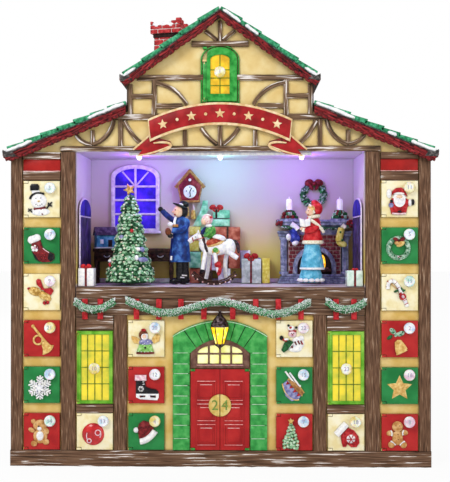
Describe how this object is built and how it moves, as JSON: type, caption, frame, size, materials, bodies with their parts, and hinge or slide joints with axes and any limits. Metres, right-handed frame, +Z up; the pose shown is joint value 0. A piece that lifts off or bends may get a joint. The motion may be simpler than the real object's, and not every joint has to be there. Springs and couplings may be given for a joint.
{
  "type": "musical advent calendar",
  "caption": "Half-timbered house advent calendar: hinged picture doors over pockets, a lit stage with turning figures and a rocking horse, snowy roofs and a battery back.",
  "frame": {"origin": "middle of the base, on the surface that the house stands on", "axes": "+Z up, the front faces -Y, +X to the viewer's right"},
  "size_m": [0.413, 0.1147, 0.437],
  "materials": {
    "leaf_cream": "satin paint",
    "leaf_green": "satin paint",
    "leaf_red": "satin paint",
    "facade_tan": "washed paint",
    "timber_brown": "wood grain paint",
    "stone_green": "painted stone",
    "lantern_gold": "painted",
    "banner_red": "satin paint",
    "garland_green": "painted",
    "roof_green": "painted",
    "brick_red": "painted",
    "back_brown": "moulded",
    "room_wall": "painted",
    "figure_blue": "painted",
    "figure_red": "painted",
    "horse_white": "painted",
    "tree_green": "painted",
    "hearth_grey": "painted",
    "table_brown": "painted",
    "gift_green": "painted",
    "gift_white": "painted",
    "lamp_white": "diffusing lamps",
    "works_plastic": "moulded",
    "speaker_black": "moulded",
    "board_green": "solder resist"
  },
  "bodies": {
    "house": {"left_column_tray": "facade_tan", "right_column_tray": "facade_tan", "lower_tray": "facade_tan", "gable_panel": "facade_tan", "timber_frame": "timber_brown", "gable_timbers": "timber_brown", "door_surround": "stone_green", "fanlight": "timber_brown", "lantern": "lantern_gold", "banner": "banner_red", "garland_centre": "garland_green", "garland_left": "garland_green", "garland_right": "garland_green", "cabinet_shell": "timber_brown", "back_cover": "back_brown", "upper_roof": "roof_green", "left_roof": "roof_green", "right_roof": "roof_green", "chimney": "brick_red", "stage_room": "room_wall", "man_figure": "figure_blue", "fireplace": "hearth_grey", "table": "table_brown", "gift_stack": "gift_green", "gift_left": "gift_white", "gift_right": "gift_white", "led_bar": "lamp_white", "drive_unit": "works_plastic", "speaker": "speaker_black", "circuit_board": "board_green"},
    "leaf_snowman": {"door_snowman": "leaf_cream"},
    "leaf_stocking": {"door_stocking": "leaf_green"},
    "leaf_bells": {"door_bells": "leaf_cream"},
    "leaf_trumpet": {"door_trumpet": "leaf_red"},
    "leaf_snowflake": {"door_snowflake": "leaf_green"},
    "leaf_bear": {"door_bear": "leaf_red"},
    "leaf_santa": {"door_santa": "leaf_cream"},
    "leaf_wreath": {"door_wreath": "leaf_green"},
    "leaf_candy_cane": {"door_candy_cane": "leaf_cream"},
    "leaf_bell": {"door_bell": "leaf_red"},
    "leaf_star": {"door_star": "leaf_green"},
    "leaf_gingerbread": {"door_gingerbread": "leaf_red"},
    "leaf_angel": {"door_angel": "leaf_cream"},
    "leaf_skate": {"door_skate": "leaf_red"},
    "leaf_hat": {"door_hat": "leaf_green"},
    "leaf_reindeer": {"door_reindeer": "leaf_cream"},
    "leaf_drum": {"door_drum": "leaf_green"},
    "leaf_tree": {"door_tree": "leaf_red"},
    "leaf_ornament": {"door_ornament": "leaf_cream"},
    "leaf_mitten": {"door_mitten": "leaf_cream"},
    "leaf_left_window": {"door_left_window": "leaf_green"},
    "leaf_right_window": {"door_right_window": "leaf_green"},
    "leaf_gable_window": {"door_gable_window": "leaf_green"},
    "leaf_24_left": {"door_24_left": "leaf_red"},
    "leaf_24_right": {"door_24_right": "leaf_red"},
    "tree": {"christmas_tree": "tree_green"},
    "woman": {"woman_figure": "figure_red"},
    "horse": {"rocking_horse": "horse_white"},
    "battery_lid": {"battery_door": "back_brown"},
    "switch_knob": {"power_switch": "speaker_black"}
  },
  "joints": [
    {"name": "snowman_hinge", "type": "hinge", "parent": "house", "child": "leaf_snowman", "pos_m": [-0.1856, -0.0478, 0.25455], "axis": [0, 0, -1], "range_deg": [0, 105]},
    {"name": "stocking_hinge", "type": "hinge", "parent": "house", "child": "leaf_stocking", "pos_m": [-0.1856, -0.0478, 0.21035], "axis": [0, 0, -1], "range_deg": [0, 105]},
    {"name": "bells_hinge", "type": "hinge", "parent": "house", "child": "leaf_bells", "pos_m": [-0.1856, -0.0478, 0.16615], "axis": [0, 0, -1], "range_deg": [0, 105]},
    {"name": "trumpet_hinge", "type": "hinge", "parent": "house", "child": "leaf_trumpet", "pos_m": [-0.1856, -0.0478, 0.12195], "axis": [0, 0, -1], "range_deg": [0, 105]},
    {"name": "snowflake_hinge", "type": "hinge", "parent": "house", "child": "leaf_snowflake", "pos_m": [-0.1856, -0.0478, 0.07775], "axis": [0, 0, -1], "range_deg": [0, 105]},
    {"name": "bear_hinge", "type": "hinge", "parent": "house", "child": "leaf_bear", "pos_m": [-0.1856, -0.0478, 0.03355], "axis": [0, 0, -1], "range_deg": [0, 105]},
    {"name": "santa_hinge", "type": "hinge", "parent": "house", "child": "leaf_santa", "pos_m": [0.1543, -0.0478, 0.25455], "axis": [0, 0, -1], "range_deg": [0, 105]},
    {"name": "wreath_hinge", "type": "hinge", "parent": "house", "child": "leaf_wreath", "pos_m": [0.1543, -0.0478, 0.21035], "axis": [0, 0, -1], "range_deg": [0, 105]},
    {"name": "candy_cane_hinge", "type": "hinge", "parent": "house", "child": "leaf_candy_cane", "pos_m": [0.1543, -0.0478, 0.16615], "axis": [0, 0, -1], "range_deg": [0, 105]},
    {"name": "bell_hinge", "type": "hinge", "parent": "house", "child": "leaf_bell", "pos_m": [0.1543, -0.0478, 0.12195], "axis": [0, 0, -1], "range_deg": [0, 105]},
    {"name": "star_hinge", "type": "hinge", "parent": "house", "child": "leaf_star", "pos_m": [0.1543, -0.0478, 0.07775], "axis": [0, 0, -1], "range_deg": [0, 105]},
    {"name": "gingerbread_hinge", "type": "hinge", "parent": "house", "child": "leaf_gingerbread", "pos_m": [0.1543, -0.0478, 0.03355], "axis": [0, 0, -1], "range_deg": [0, 105]},
    {"name": "angel_hinge", "type": "hinge", "parent": "house", "child": "leaf_angel", "pos_m": [-0.0859, -0.0478, 0.12195], "axis": [0, 0, -1], "range_deg": [0, 105]},
    {"name": "skate_hinge", "type": "hinge", "parent": "house", "child": "leaf_skate", "pos_m": [-0.0859, -0.0478, 0.07775], "axis": [0, 0, -1], "range_deg": [0, 105]},
    {"name": "hat_hinge", "type": "hinge", "parent": "house", "child": "leaf_hat", "pos_m": [-0.0859, -0.0478, 0.03355], "axis": [0, 0, -1], "range_deg": [0, 105]},
    {"name": "reindeer_hinge", "type": "hinge", "parent": "house", "child": "leaf_reindeer", "pos_m": [0.0546, -0.0478, 0.12195], "axis": [0, 0, -1], "range_deg": [0, 105]},
    {"name": "drum_hinge", "type": "hinge", "parent": "house", "child": "leaf_drum", "pos_m": [0.0546, -0.0478, 0.07775], "axis": [0, 0, -1], "range_deg": [0, 105]},
    {"name": "tree_door_hinge", "type": "hinge", "parent": "house", "child": "leaf_tree", "pos_m": [0.0546, -0.0478, 0.03355], "axis": [0, 0, -1], "range_deg": [0, 105]},
    {"name": "ornament_hinge", "type": "hinge", "parent": "house", "child": "leaf_ornament", "pos_m": [-0.1349, -0.0478, 0.03355], "axis": [0, 0, -1], "range_deg": [0, 105]},
    {"name": "mitten_hinge", "type": "hinge", "parent": "house", "child": "leaf_mitten", "pos_m": [0.1036, -0.0478, 0.03355], "axis": [0, 0, -1], "range_deg": [0, 105]},
    {"name": "left_window_hinge", "type": "hinge", "parent": "house", "child": "leaf_left_window", "pos_m": [-0.1349, -0.0478, 0.09455], "axis": [0, 0, -1], "range_deg": [0, 105]},
    {"name": "right_window_hinge", "type": "hinge", "parent": "house", "child": "leaf_right_window", "pos_m": [0.1036, -0.0478, 0.09455], "axis": [0, 0, -1], "range_deg": [0, 105]},
    {"name": "gable_window_hinge", "type": "hinge", "parent": "house", "child": "leaf_gable_window", "pos_m": [-0.015, -0.0478, 0.367], "axis": [0, 0, -1], "range_deg": [0, 105]},
    {"name": "door_24_left_hinge", "type": "hinge", "parent": "house", "child": "leaf_24_left", "pos_m": [-0.0263, -0.0478, 0.0547], "axis": [0, 0, -1], "range_deg": [0, 105]},
    {"name": "door_24_right_hinge", "type": "hinge", "parent": "house", "child": "leaf_24_right", "pos_m": [0.0263, -0.0478, 0.0547], "axis": [0, 0, 1], "range_deg": [0, 105]},
    {"name": "tree_turn", "type": "hinge", "parent": "house", "child": "tree", "pos_m": [-0.0895, -0.014, 0.1728], "axis": [0, 0, 1], "continuous": true},
    {"name": "woman_turn", "type": "hinge", "parent": "house", "child": "woman", "pos_m": [0.0895, -0.013, 0.1728], "axis": [0, 0, 1], "continuous": true},
    {"name": "horse_rock", "type": "hinge", "parent": "house", "child": "horse", "pos_m": [-0.0065, -0.013, 0.2023], "axis": [0, 1, 0], "range_deg": [-8, 8]},
    {"name": "battery_door_slide", "type": "slide", "parent": "house", "child": "battery_lid", "axis": [0, 0, -1], "range_m": [0, 0.014]},
    {"name": "power_switch_slide", "type": "slide", "parent": "house", "child": "switch_knob", "axis": [1, 0, 0], "range_m": [0, 0.004]}
  ],
  "couplings": [
    {"joint": "woman_turn", "follows": "tree_turn", "ratio": -1}
  ]
}
